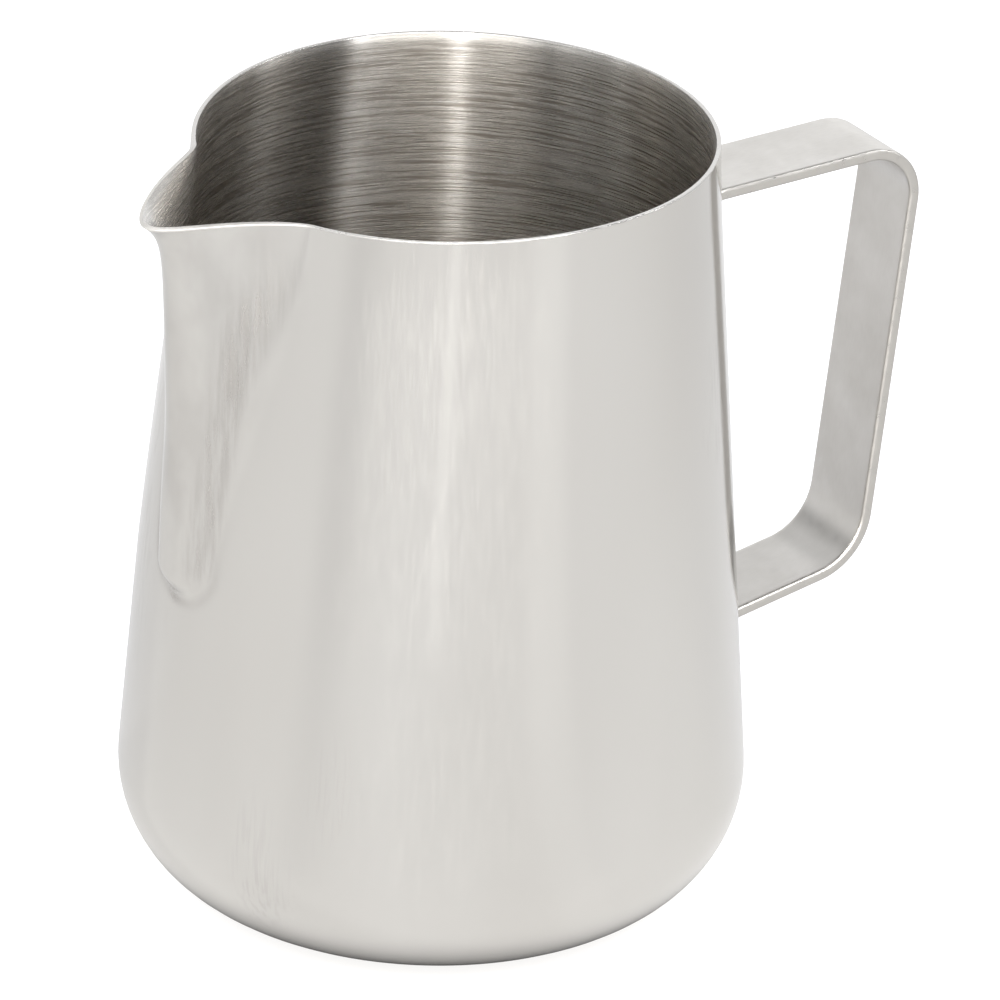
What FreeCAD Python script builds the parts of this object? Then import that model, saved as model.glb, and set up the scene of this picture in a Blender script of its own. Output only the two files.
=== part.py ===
"""Milk frothing pitcher: a drawn stainless cup with a formed spout, and a welded strap handle.

Millimetres, +Z up. The origin is the middle of the base, on the surface that the pitcher
stands on. The handle points along +X and the spout along -X, and the pitcher is symmetric
about the XZ plane. Each function below makes one piece of the pitcher.
"""
import FreeCAD, Part
import math
import os

# Cup: outside sizes of the plain cup, before the spout is formed
RIM_HEIGHT = 120.0
WALL = 0.8
BASE_FLAT_RADIUS = 28.1
HEEL_RADIUS = 19.0
FLANK_TAPER = 0.0745        # radius lost for each millimetre of height
RIM_FLARE = 0.3             # how far the rim turns out past the straight flank
RIM_FLARE_HEIGHT = 12.0

# Underside: a shallow panel pressed up inside the foot ring, so that the cup doesn't rock
PANEL_RADIUS = 23.5
PANEL_STEP_WIDTH = 1.5
PANEL_RISE = 0.6

# Spout: a tongue-shaped channel pressed outward, which opens into a curled pouring lip
SPOUT_LENGTH = 65.0         # from the rim down to the foot of the channel's round end
SPOUT_REACH = 10.5          # how far the channel stands out at the rim, without the lip's curl
SPOUT_END_REACH = 2.4       # how far it still stands out just above its round end
SPOUT_END_LENGTH = 6.2      # over which the round end falls back to the cup
SPOUT_REACH_POWER = 1.48
LIP_CURL = 3.5
LIP_CURL_DEPTH = 2.8
SPOUT_RIM_HALF_ANGLE = 27.4
SPOUT_END_HALF_ANGLE = 10.0
SPOUT_CREST_SHARPNESS = 1.54
SPOUT_CREST_ROUNDING = 0.2
SPOUT_DOME_START = 30.0     # depths between which the sharp crest turns into a round-topped dome
SPOUT_DOME_END = 57.5
SPOUT_DOME_SLOPE = 0.8      # share of the dome's half width that slopes
LIP_DROOP = 2.9             # how much lower the tip is, from the curl

# Forming the spout pulls the wall beside it in and down
PULL_IN = 2.8
PULL_DOWN = 1.6
PULL_LENGTH = 66.0
PULL_FADE_POWER = 1.28
PULL_REACH_ANGLE = 135.0    # from the spout to where the pull ends
SINK_LENGTH = 70.0

# Handle: one flat strap, bent four times, with a tab at each end that lies on the cup
STRAP_WIDTH = 14.5
STRAP_THICKNESS = 1.8
STRAP_EDGE_ROUNDING = 0.5
UPPER_ARM_HEIGHT = 103.9    # middle of the strap where its line meets the cup
UPPER_ARM_SLOPE = 0.036
LOWER_ARM_HEIGHT = 32.0
LOWER_ARM_SLOPE = 0.196
ARM_DATUM_X = 41.0
GRIP_X = 79.2               # middle of the strap at the grip datum height
GRIP_DATUM_HEIGHT = 101.7
GRIP_LEAN = 0.114
UPPER_BEND_RADIUS = 7.8
LOWER_BEND_RADIUS = 10.0
ROOT_BEND_RADIUS = 2.6
TAB_LENGTH = 15.0
TAB_BACKING_DEPTH = 2.5

# Welds: spot-weld nuggets that pass from each tab into the cup's wall
NUGGET_RADIUS = 1.6
NUGGET_SPACING = 6.5
NUGGET_DEPTH = 0.35

# Sections through the formed wall
SPOUT_ANGLE_STEP = 2.0
FAR_ANGLE_STEP = 6.0
SPOUT_ANGLE_LIMIT = 40.0
HEEL_SECTIONS = 8


def flank_angle():
    return math.atan(FLANK_TAPER)


def heel_top():
    """Point where the heel arc runs into the straight flank."""
    lean = flank_angle()
    radius = BASE_FLAT_RADIUS + HEEL_RADIUS * math.cos(lean)
    height = HEEL_RADIUS + HEEL_RADIUS * math.sin(lean)
    return radius, height


def flank_radius(height):
    """Outer radius of the plain cup above the heel."""
    radius, start = heel_top()
    plain = radius - FLANK_TAPER * (height - start)
    turn = max(0.0, height - (RIM_HEIGHT - RIM_FLARE_HEIGHT)) / RIM_FLARE_HEIGHT
    return plain + RIM_FLARE * turn ** 2


def smoothstep(share):
    """Smooth rise from 0 to 1 as the share goes from 0 to 1."""
    share = max(0.0, min(1.0, share))
    return share * share * (3.0 - 2.0 * share)


def crest_section(share):
    """Sharp-crested cross-section: 1 on its crest, and 0 at a share of 1 and beyond."""
    soft = SPOUT_CREST_ROUNDING
    fall = (math.hypot(share, soft) - soft) / (math.hypot(1.0, soft) - soft)
    return max(0.0, 1.0 - fall) ** SPOUT_CREST_SHARPNESS


def dome_section(share):
    """Round-topped cross-section: 1 on top, and 0 at a share of 1 and beyond."""
    return smoothstep((1.0 - share) / SPOUT_DOME_SLOPE)


def spout_half_angle(depth):
    narrowing = SPOUT_END_HALF_ANGLE - SPOUT_RIM_HALF_ANGLE
    return SPOUT_RIM_HALF_ANGLE + narrowing * smoothstep(depth / SPOUT_LENGTH)


def spout_bulge(angle, depth):
    """How far the channel stands out of the cup, at an angle and a depth below the rim."""
    left = max(0.0, 1.0 - depth / SPOUT_LENGTH)
    reach = SPOUT_END_REACH + (SPOUT_REACH - SPOUT_END_REACH) * left ** SPOUT_REACH_POWER
    reach += LIP_CURL * math.exp(-depth / LIP_CURL_DEPTH)
    into_end = max(0.0, (depth - SPOUT_LENGTH) / SPOUT_END_LENGTH + 1.0)
    share = math.hypot(angle / spout_half_angle(depth), into_end)
    dome = smoothstep((depth - SPOUT_DOME_START) / (SPOUT_DOME_END - SPOUT_DOME_START))
    return reach * ((1.0 - dome) * crest_section(share) + dome * dome_section(share))


def pull_share(angle):
    """1 at the spout, and 0 where its forming no longer moves the wall."""
    if abs(angle) >= PULL_REACH_ANGLE:
        return 0.0
    return math.cos(math.radians(90.0 * angle / PULL_REACH_ANGLE)) ** 2


def wall_point(angle, depth):
    """Point of the outer wall. The angle is in degrees from the middle of the spout."""
    pull = pull_share(angle)
    lip = crest_section(angle / SPOUT_RIM_HALF_ANGLE)
    sink = PULL_DOWN * pull ** 1.5 + LIP_DROOP * lip ** 2
    fade = max(0.0, 1.0 - depth / SINK_LENGTH)
    height = RIM_HEIGHT - depth - sink * fade
    radius = flank_radius(height) + spout_bulge(angle, depth)
    radius -= PULL_IN * pull * max(0.0, 1.0 - depth / PULL_LENGTH) ** PULL_FADE_POWER
    turn = math.radians(180.0 + angle)
    return FreeCAD.Vector(radius * math.cos(turn), radius * math.sin(turn), height)


def inner_wall_point(angle, depth):
    """Point of the inner wall, one wall thickness in along the surface normal."""
    step = 0.02
    around = wall_point(angle + step, depth) - wall_point(angle - step, depth)
    down = wall_point(angle, depth + step) - wall_point(angle, max(0.0, depth - step))
    inward = around.cross(down)
    inward.normalize()
    point = wall_point(angle, depth)
    if inward.x * point.x + inward.y * point.y > 0.0:
        inward = inward * -1.0
    return point + inward * WALL


def section_angles():
    """Angles round the cup, close together across the spout."""
    angles = []
    angle = -180.0
    while angle < 180.0 - 1e-6:
        angles.append(angle)
        near = abs(angle + 0.5 * SPOUT_ANGLE_STEP) < SPOUT_ANGLE_LIMIT
        angle += SPOUT_ANGLE_STEP if near else FAR_ANGLE_STEP
    return angles


def section_depths():
    """Depths below the rim, close together where the wall curls and where the channel ends."""
    depths = [0.0, 0.8, 1.8, 3.0, 4.5, 6.5, 9.0, 12.0, 16.0, 21.0, 27.0, 34.0, 41.0, 47.0, 52.0, 56.0]
    depths += [SPOUT_LENGTH - left for left in (7.0, 6.0, 5.0, 4.0, 3.0, 2.0, 1.0, 0.0)]
    depths += [66.0, 68.0, SINK_LENGTH, 78.0, 88.0]
    return depths


def closed_curve(points):
    """Smooth closed curve through one point for each section angle."""
    curve = Part.BSplineCurve()
    curve.interpolate(
        Points=points,
        PeriodicFlag=True,
        Parameters=[math.radians(angle) for angle in section_angles() + [180.0]],
    )
    return curve


def formed_section(point_at, depth):
    """Section of the formed wall."""
    return closed_curve([point_at(angle, depth) for angle in section_angles()])


def plain_section(radius, height):
    """Section of the plain cup, with its points at the same angles as the formed wall's."""
    points = []
    for angle in section_angles():
        turn = math.radians(180.0 + angle)
        points.append(FreeCAD.Vector(radius * math.cos(turn), radius * math.sin(turn), height))
    return closed_curve(points)


def heel_turns():
    """Directions from the heel arc's centre, from the flank down to the foot ring."""
    lean = flank_angle()
    step = (lean + 0.5 * math.pi) / HEEL_SECTIONS
    return [lean - step * index for index in range(HEEL_SECTIONS + 1)]


def heel_section(radius, turn):
    out = BASE_FLAT_RADIUS + radius * math.cos(turn)
    return plain_section(out, HEEL_RADIUS + radius * math.sin(turn))


def section_distances():
    """Distance of each section from the rim, measured down the wall."""
    flank_end = RIM_HEIGHT - heel_top()[1]
    turned = [flank_end + HEEL_RADIUS * (flank_angle() - turn) for turn in heel_turns()]
    return section_depths() + turned


def half_edge(section, first, last):
    """The part of a section between two angles, as a curve."""
    half = section.copy()
    half.segment(math.radians(first), math.radians(last))
    return half


def skin(curves):
    """Smooth surface through curves that share their knots, so that its halves meet exactly."""
    columns = []
    for poles in zip(*[curve.getPoles() for curve in curves]):
        column = Part.BSplineCurve()
        column.interpolate(Points=list(poles), Parameters=section_distances())
        columns.append(column)
    surface = Part.BSplineSurface()
    surface.buildFromPolesMultsKnots(
        [column.getPoles() for column in columns],
        curves[0].getMultiplicities(),
        columns[0].getMultiplicities(),
        curves[0].getKnots(),
        columns[0].getKnots(),
        False,
        False,
        curves[0].Degree,
        columns[0].Degree,
    )
    return surface.toShape()


def base_faces(foot_edges, height):
    """Foot ring, and the panel pressed up inside it."""
    middle = FreeCAD.Vector(0.0, 0.0, height)
    axis = FreeCAD.Vector(0.0, 0.0, 1.0)
    ring_edge = Part.makeCircle(PANEL_RADIUS, middle, axis)
    ring = Part.Face(Part.Wire(foot_edges)).cut(Part.Face(Part.Wire([ring_edge])))
    step_radius = PANEL_RADIUS - PANEL_STEP_WIDTH
    panel_edge = Part.makeCircle(step_radius, middle + axis * PANEL_RISE, axis)
    step = Part.makeRuledSurface(ring_edge, panel_edge)
    panel = Part.Face(Part.Wire([panel_edge]))
    return ring.Faces + step.Faces + panel.Faces


def make_cup_body():
    """The one-piece stainless cup: base, heel, flank, rim and spout, all one wall thick."""
    outer = [formed_section(wall_point, depth) for depth in section_depths()]
    inner = [formed_section(inner_wall_point, depth) for depth in section_depths()]
    outer += [heel_section(HEEL_RADIUS, turn) for turn in heel_turns()]
    inner += [heel_section(HEEL_RADIUS - WALL, turn) for turn in heel_turns()]
    faces = []
    outer_foot = []
    inner_foot = []
    for first, last in ((-180.0, 0.0), (0.0, 180.0)):
        outer_curves = [half_edge(section, first, last) for section in outer]
        inner_curves = [half_edge(section, first, last) for section in inner]
        rim = Part.makeRuledSurface(outer_curves[0].toShape(), inner_curves[0].toShape())
        faces += [skin(outer_curves), skin(inner_curves), rim]
        outer_foot.append(outer_curves[-1].toShape())
        inner_foot.append(inner_curves[-1].toShape())
    faces += base_faces(outer_foot, 0.0)
    faces += base_faces(inner_foot, WALL)
    shell = Part.makeShell(faces)
    shell.sewShape()
    return Part.makeSolid(shell)


def strap_lines():
    """Middle lines of the strap from the upper tab's end to the lower tab's end, as corner points."""
    lean = flank_angle()
    half = 0.5 * STRAP_THICKNESS / math.cos(lean)

    def tab_x(height):
        return flank_radius(height) + half

    def grip_x(height):
        return GRIP_X + GRIP_LEAN * (height - GRIP_DATUM_HEIGHT)

    def meet(datum_height, slope, start_height, line_x):
        """Point where an arm's line crosses a nearly upright line, found by repeated steps."""
        height = start_height
        for _ in range(20):
            height = datum_height + slope * (line_x(height) - ARM_DATUM_X)
        return FreeCAD.Vector(line_x(height), 0.0, height)

    upper_root = meet(UPPER_ARM_HEIGHT, UPPER_ARM_SLOPE, UPPER_ARM_HEIGHT, tab_x)
    upper_turn = meet(UPPER_ARM_HEIGHT, UPPER_ARM_SLOPE, UPPER_ARM_HEIGHT, grip_x)
    lower_turn = meet(LOWER_ARM_HEIGHT, LOWER_ARM_SLOPE, LOWER_ARM_HEIGHT, grip_x)
    lower_root = meet(LOWER_ARM_HEIGHT, LOWER_ARM_SLOPE, LOWER_ARM_HEIGHT, tab_x)
    upper_end = upper_root.z - TAB_LENGTH
    lower_end = lower_root.z + TAB_LENGTH
    return [
        FreeCAD.Vector(tab_x(upper_end), 0.0, upper_end),
        upper_root,
        upper_turn,
        lower_turn,
        lower_root,
        FreeCAD.Vector(tab_x(lower_end), 0.0, lower_end),
    ]


def side_of(direction):
    """Direction at right angles to a run of the strap, pointing out of the handle's loop."""
    return FreeCAD.Vector(-direction.z, 0.0, direction.x)


def strap_edge(corners, radii, offset):
    """One face line of the strap: the middle line's runs and bends, moved sideways by offset."""
    runs = []
    for start, end in zip(corners, corners[1:]):
        direction = (end - start).normalize()
        runs.append((start + side_of(direction) * offset, direction))
    edges = []
    current = runs[0][0]
    for index, radius in enumerate(radii):
        (_, before), (start, after) = runs[index], runs[index + 1]
        turn = math.atan2(before.x * after.z - before.z * after.x, before.dot(after))
        bend_radius = radius - offset * math.copysign(1.0, turn)
        corner = corners[index + 1]
        along = radius * math.tan(0.5 * abs(turn))
        first = corner - before * along + side_of(before) * offset
        last = corner + after * along + side_of(after) * offset
        centre = corner - before * along + side_of(before) * radius * math.copysign(1.0, turn)
        outward = (first - centre).normalize() + (last - centre).normalize()
        middle = centre + outward.normalize() * bend_radius
        edges.append(Part.LineSegment(current, first).toShape())
        edges.append(Part.Arc(first, middle, last).toShape())
        current = last
    final = corners[-1] + side_of(runs[-1][1]) * offset
    edges.append(Part.LineSegment(current, final).toShape())
    return edges, runs[0][0], final


def plain_cup_solid():
    """Solid inside of the plain flank, used to shape the tabs."""
    low = heel_top()[1]
    middle = FreeCAD.Vector(0.0, 0.0, low)
    upright = FreeCAD.Vector(0.0, 0.0, 1.0)
    top = RIM_HEIGHT - RIM_FLARE_HEIGHT
    return Part.makeCone(flank_radius(low), flank_radius(top), top - low, middle, upright)


def tab_backing(end, root):
    """Block between a flat tab and the round cup, before it is cut to the cup's surface."""
    along = (root - end).normalize()
    inward = FreeCAD.Vector(-abs(along.z), 0.0, abs(along.x)) * TAB_BACKING_DEPTH
    last = root - along * ROOT_BEND_RADIUS
    shift = FreeCAD.Vector(0.0, -0.5 * STRAP_WIDTH, 0.0)
    corners = [end, last, last + inward, end + inward, end]
    face = Part.Face(Part.makePolygon([corner + shift for corner in corners]))
    return face.extrude(FreeCAD.Vector(0.0, STRAP_WIDTH, 0.0))


def spot_welds(end, root):
    """Two spot-weld nuggets in a row up one tab, each half in the tab and half in the cup."""
    lean = flank_angle()
    outward = FreeCAD.Vector(math.cos(lean), 0.0, math.sin(lean))
    middle = (end + root) * 0.5
    along = (root - end).normalize()
    nuggets = []
    for side in (-0.5, 0.5):
        spot = middle + along * (side * NUGGET_SPACING - 0.5 * ROOT_BEND_RADIUS)
        start = spot - outward * (0.5 * STRAP_THICKNESS + NUGGET_DEPTH)
        nuggets.append(Part.makeCylinder(NUGGET_RADIUS, 2.0 * NUGGET_DEPTH, start, outward))
    return Part.makeCompound(nuggets)


def make_handle_strap():
    """The flat strap, with its two arms, grip and the tabs that lie on the cup."""
    corners = strap_lines()
    radii = [ROOT_BEND_RADIUS, UPPER_BEND_RADIUS, LOWER_BEND_RADIUS, ROOT_BEND_RADIUS]
    half = 0.5 * STRAP_THICKNESS
    left, left_start, left_end = strap_edge(corners, radii, half)
    right, right_start, right_end = strap_edge(corners, radii, -half)
    start_cap = Part.LineSegment(left_start, right_start).toShape()
    end_cap = Part.LineSegment(left_end, right_end).toShape()
    outline = Part.Wire(Part.__sortEdges__(left + right + [start_cap, end_cap]))
    outline.translate(FreeCAD.Vector(0.0, -0.5 * STRAP_WIDTH, 0.0))
    strap = Part.Face(outline).extrude(FreeCAD.Vector(0.0, STRAP_WIDTH, 0.0))
    long_edges = [edge for edge in strap.Edges if edge.BoundBox.YLength < 0.01]
    strap = strap.makeFillet(STRAP_EDGE_ROUNDING, long_edges)
    upper_backing = tab_backing(corners[0], corners[1])
    lower_backing = tab_backing(corners[5], corners[4])
    strap = strap.fuse([upper_backing, lower_backing]).cut(plain_cup_solid())
    return strap.removeSplitter()


def make_pieces():
    """Every piece of the pitcher, under its node's name."""
    corners = strap_lines()
    upper_welds = spot_welds(corners[0], corners[1])
    lower_welds = spot_welds(corners[5], corners[4])
    welds = upper_welds.Solids + lower_welds.Solids
    return {
        "cup_body": make_cup_body().cut(welds),
        "handle_strap": make_handle_strap().cut(welds),
        "upper_spot_welds": upper_welds,
        "lower_spot_welds": lower_welds,
    }


if __name__ == "__main__":
    os.makedirs("parts", exist_ok=True)
    for node, shape in make_pieces().items():
        print(node, len(shape.Solids), shape.isValid(), round(shape.Volume, 1), shape.BoundBox)
        shape.exportStep("parts/" + node + ".step")
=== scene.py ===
"""Milk frothing pitcher: a polished stainless cup with a formed spout, and a welded strap handle.

Shapes are worked out in millimetres and scaled to metres as each mesh is made. The origin is the
middle of the base, +Z is up, the handle points along +X and the spout along -X.
"""
import math

import bmesh
import bpy
from mathutils import Matrix, Vector, noise


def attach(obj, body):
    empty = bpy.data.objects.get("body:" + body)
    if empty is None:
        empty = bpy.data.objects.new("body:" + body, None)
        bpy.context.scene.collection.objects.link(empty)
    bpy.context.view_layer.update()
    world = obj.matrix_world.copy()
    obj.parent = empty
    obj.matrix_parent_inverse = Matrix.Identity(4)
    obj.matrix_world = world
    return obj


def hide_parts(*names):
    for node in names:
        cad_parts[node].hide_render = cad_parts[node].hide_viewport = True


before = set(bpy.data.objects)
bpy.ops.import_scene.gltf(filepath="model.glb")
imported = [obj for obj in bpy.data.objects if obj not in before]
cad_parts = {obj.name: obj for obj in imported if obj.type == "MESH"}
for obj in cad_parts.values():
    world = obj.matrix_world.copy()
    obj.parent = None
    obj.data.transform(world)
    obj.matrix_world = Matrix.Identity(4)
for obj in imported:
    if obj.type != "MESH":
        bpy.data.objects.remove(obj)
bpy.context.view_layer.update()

MM = 0.001

# Cup, as in the CAD model
RIM_HEIGHT = 120.0
WALL = 0.8
BASE_FLAT_RADIUS = 28.1
HEEL_RADIUS = 19.0
FLANK_TAPER = 0.0745
RIM_FLARE = 0.3
RIM_FLARE_HEIGHT = 12.0
PANEL_RADIUS = 23.5
PANEL_STEP_WIDTH = 1.5
PANEL_RISE = 0.6

# Spout, as in the CAD model: lengths and depths in millimetres, angles in degrees
SPOUT_LENGTH = 65.0
SPOUT_REACH = 10.5
SPOUT_END_REACH = 2.4
SPOUT_END_LENGTH = 6.2
SPOUT_REACH_POWER = 1.48
LIP_CURL = 3.5
LIP_CURL_DEPTH = 2.8
SPOUT_RIM_HALF_ANGLE = 27.4
SPOUT_END_HALF_ANGLE = 10.0
SPOUT_CREST_SHARPNESS = 1.54
SPOUT_CREST_ROUNDING = 0.2
SPOUT_DOME_START = 30.0
SPOUT_DOME_END = 57.5
SPOUT_DOME_SLOPE = 0.8
LIP_DROOP = 2.9
PULL_IN = 2.8
PULL_DOWN = 1.6
PULL_LENGTH = 66.0
PULL_FADE_POWER = 1.28
PULL_REACH_ANGLE = 135.0
SINK_LENGTH = 70.0

# Handle, as in the CAD model
STRAP_WIDTH = 14.5
STRAP_THICKNESS = 1.8
STRAP_EDGE_ROUNDING = 0.5
UPPER_ARM_HEIGHT = 103.9
UPPER_ARM_SLOPE = 0.036
LOWER_ARM_HEIGHT = 32.0
LOWER_ARM_SLOPE = 0.196
ARM_DATUM_X = 41.0
GRIP_X = 79.2
GRIP_DATUM_HEIGHT = 101.7
GRIP_LEAN = 0.114
ROOT_BEND_RADIUS = 2.6
BEND_RADII = (ROOT_BEND_RADIUS, 7.8, 10.0, ROOT_BEND_RADIUS)
TAB_LENGTH = 15.0
NUGGET_SPACING = 6.5

# Finer shapes that the CAD model leaves out
RIM_EDGE_RADIUS = 0.12
RIM_EASING = 0.12            # how much the inside is eased back at the rim
RIM_EASING_DEPTH = 0.8
DIMPLE_RADIUS = 2.1          # spot-weld marks on the tabs
DIMPLE_FLAT_RADIUS = 0.9
DIMPLE_DEPTH = 0.14
DENT_HEIGHT = 0.08           # hammered waviness in the spout's channel
DENT_SCALE = Vector((0.16, 0.16, 0.06))
DENT_START_LENGTH = 10.0
RUB_HEIGHT = 0.03            # rubbing marks in the worked band
RUB_SCALE = Vector((0.5, 0.5, 0.1))
RUB_OFFSET = Vector((9.0, 4.0, 1.0))
GROOVE_DEPTH = 0.10

# Hand-worked band that slants down the spout: angles and widths in degrees, and depths
WORKED_TOP_ANGLE = 27.0
WORKED_END_ANGLE = 6.0
WORKED_TURN_DEPTH = 22.0
WORKED_TOP_WIDTH = 12.0
WORKED_END_WIDTH = 4.5
WORKED_START_DEPTH = 3.0
WORKED_START_LENGTH = 12.0
WORKED_STOP_DEPTH = 56.0
WORKED_STOP_LENGTH = 8.0

# Painted shade in the crease round the foot of the spout's channel. Shares are 1 at the channel's
# edge.
CREASE_SHARE = 0.98
CREASE_WIDTH = 0.16
CREASE_START_DEPTH = 44.0
CREASE_START_LENGTH = 14.0
CREASE_FADING = 0.65         # how much of it is lost on its right
CREASE_FADING_ANGLE = 3.0
FORMED_SHARE = 0.6           # where the look of the formed channel starts to fade
FORMED_FADING = 0.6

# Inside: depths over which its polished, painted-lighter edge fades, and where the brushing turns
# into rings
EDGE_POLISH_AND_HIGHLIGHT_DEPTH = 1.3
LIP_POLISH_AND_HIGHLIGHT_DEPTH = 6.0
BRUSHED_FLOOR_RADIUS = 38.0

# Rows and columns of the cup's mesh. Rows in a run: first depth below the rim, spacing, count.
NEAR_COLUMN_STEP = 0.6
FAR_COLUMN_STEP = 2.0
NEAR_COLUMN_LIMIT = 42.0
LIP_ROW_DEPTHS = (0.3, 0.5, 0.75, 1.05, 1.4, 1.8, 2.3, 3.0, 3.8, 4.7, 5.7, 6.8, 8.0, 9.0)
FLANK_ROW_RUNS = ((10.0, 1.0, 47), (56.5, 0.5, 24), (69.0, 1.0, 5))
LOWER_FLANK_ROWS = 6
RIM_STEPS = 12
HEEL_STEPS = 20
PANEL_SLOPE_STEPS = 8
FOOT_ROW_RADII = (27.2, 25.6, 24.4)
PANEL_ROW_RADII = (21.0, 17.0, 12.0, 7.0, 3.0, 1.0)

# Steps of the handle's mesh: millimetres along tabs and arms, and counts round bends and corners
TAB_STEP = 0.4
ARM_STEP = 1.2
BEND_STEPS = 16
STRAP_CORNER_STEPS = 6
STRAP_FLAT_STEPS = 34

# Material slots of the cup
OUTSIDE_SLOT, RIM_SLOT, INSIDE_SLOT, UNDERSIDE_SLOT = range(4)

# Noise patterns: factors for the object's coordinates in metres, and the noise's own settings
BODY_CLOUDS = {"scale": (25.0, 25.0, 8.0), "detail": 2.0}
POLISHING_RINGS = {"scale": (60.0, 60.0, 4500.0)}
UPRIGHT_SCRATCHES = {"scale": (1600.0, 1600.0, 60.0), "detail": 2.0, "offset": (3.0, 1.0, 7.0)}
SCRATCH_CLUSTERS = {"scale": (45.0, 45.0, 18.0), "detail": 1.0, "offset": (2.5, 9.0, 7.0)}
RUB_STREAKS = {"scale": (900.0, 900.0, 90.0), "detail": 4.0, "roughness": 0.6,
               "offset": (1.0, 5.0, 2.0)}
SPOUT_BLOTCHES = {"scale": (110.0, 110.0, 70.0), "offset": (8.0, 1.0, 3.0)}
LONG_LINES = {"scale": (40.0, 40.0, 2600.0), "roughness": 0.65}
SHORT_LINES = {"scale": (160.0, 160.0, 6000.0), "detail": 2.0, "roughness": 0.6,
               "offset": (4.0, 2.0, 8.0), "tilt": (0.02, 0.03, 0.0)}
# Painted glints on the inside: short bright lines
GLINTS = {"scale": (130.0, 130.0, 7000.0), "detail": 1.0, "roughness": 0.5,
          "offset": (9.0, 3.0, 5.0), "tilt": (-0.02, 0.01, 0.0)}
RIM_CLOUDS = {"scale": (300.0, 300.0, 300.0)}
FINE_GRAIN = {"scale": (900.0, 900.0, 900.0)}
STRAP_CLOUDS = {"scale": (90.0, 90.0, 90.0)}
STRAP_GRAIN = {"scale": (700.0, 2600.0, 700.0), "offset": (2.0, 6.0, 1.0)}
WELD_GRAIN = {"scale": (1500.0, 1500.0, 1500.0), "detail": 4.0}
NOISE_RANGE = (0.3, 0.7)     # levels that most of a noise pattern lies between

# Marks: levels of their noise that they come in between, and their strengths at those levels
SCRATCH_CLUSTER_LEVELS = (0.60, 0.72)
SCRATCH_STRENGTHS = (0.0, 0.20)
SCRATCH_LEVELS = (0.50, 0.62)
RUB_LEVELS = (0.34, 0.64)
RUB_STRENGTHS = (0.15, 0.85)
BLOTCH_LEVELS = (0.40, 0.66)
BLOTCH_STRENGTHS = (0.0, 0.32)
# Painted shade in the crease round the spout's foot
CREASE_SHADE_LEVELS = (0.30, 0.62)
CREASE_SHADE_STRENGTHS = (0.30, 1.0)
# Painted glints on the inside
GLINT_LEVELS = (0.66, 0.74)
GLINT_STRENGTHS = (0.0, 0.8)
LINE_COLOUR_LEVELS = (0.43, 0.57)
LINE_ROUGHNESS_LEVELS = (0.35, 0.65)
OUTSIDE_ROUGHNESS_LEVELS = (0.35, 0.7)
EDGE_SHARES = (0.1, 0.7)     # of the inside's polished edge, and how much of the lines is left
EDGE_LINES_LEFT = (1.0, 0.2)

# Colours of the steels: a pair is what a noise pattern mixes, from its low to its high levels
OUTSIDE_COLOURS = ((0.600, 0.587, 0.565), (0.652, 0.642, 0.624))
# Dark marks: scratches and rubbing, and painted shade in the crease at the spout's foot
MARK_AND_SHADE_COLOUR = (0.415, 0.40, 0.383)
# Inside: grain lines painted as light and dark reflection streaks, darker than the outside as
# painted shade, then its painted highlight colour
INSIDE_STREAK_AND_SHADE_COLOURS = ((0.27, 0.245, 0.215), (0.70, 0.676, 0.638))
INSIDE_HIGHLIGHT_COLOUR = (0.74, 0.73, 0.715)
RIM_COLOURS = ((0.54, 0.53, 0.515), (0.60, 0.592, 0.58))
LIP_RIM_COLOUR = (0.64, 0.63, 0.61)
UNDERSIDE_COLOURS = ((0.55, 0.54, 0.52), (0.64, 0.63, 0.61))
STRAP_COLOURS = ((0.590, 0.575, 0.552), (0.670, 0.656, 0.636))
# Painted shade on the strap's rounded edges and side faces
STRAP_EDGE_SHADE_COLOUR = (0.50, 0.487, 0.465)
WELD_COLOURS = ((0.42, 0.40, 0.38), (0.56, 0.55, 0.53))

# Roughness of the steels, from the noise's low to its high levels, and what marks and edges change
OUTSIDE_ROUGHNESS = (0.12, 0.17)
MARK_ROUGHENING = 0.20
INSIDE_ROUGHNESS = (0.30, 0.24)
RIM_ROUGHNESS = (0.22, 0.32)
LIP_RIM_ROUGHENING = 0.30
UNDERSIDE_ROUGHNESS = (0.28, 0.42)
STRAP_ROUGHNESS = (0.30, 0.44)
STRAP_EDGE_SMOOTHING = 0.04
WELD_ROUGHNESS = (0.40, 0.60)

# Anisotropy of the brushed steels, and depths of the bumps in metres
OUTSIDE_ANISOTROPY = 0.6
INSIDE_ANISOTROPY = 1.0
RINGS_BUMP = 1.2e-6
RUB_BUMP = 4.0e-5
LINES_BUMP = 6.0e-5
RIM_BUMP = 1.5e-6
UNDERSIDE_BUMP = 4.0e-6
STRAP_BUMP = 2.0e-6
WELD_BUMP = 1.0e-5

# Camera: where it stands round the object, in metres, which way it looks, and its lens
CAMERA_BEARING = math.radians(32.06)
CAMERA_DISTANCE = 1.285
CAMERA_HEIGHT = 0.6623
CAMERA_PITCH = math.radians(25.07)
CAMERA_YAW = math.radians(0.41)
CAMERA_ROLL = math.radians(1.76)
CAMERA_LENS = 343.5

# Floor: radius and gap below the base in millimetres, and the glow that the camera sees
FLOOR_RADIUS = 3000.0
FLOOR_GAP = 0.02
FLOOR_GLOW_SEEN = 0.90

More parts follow.
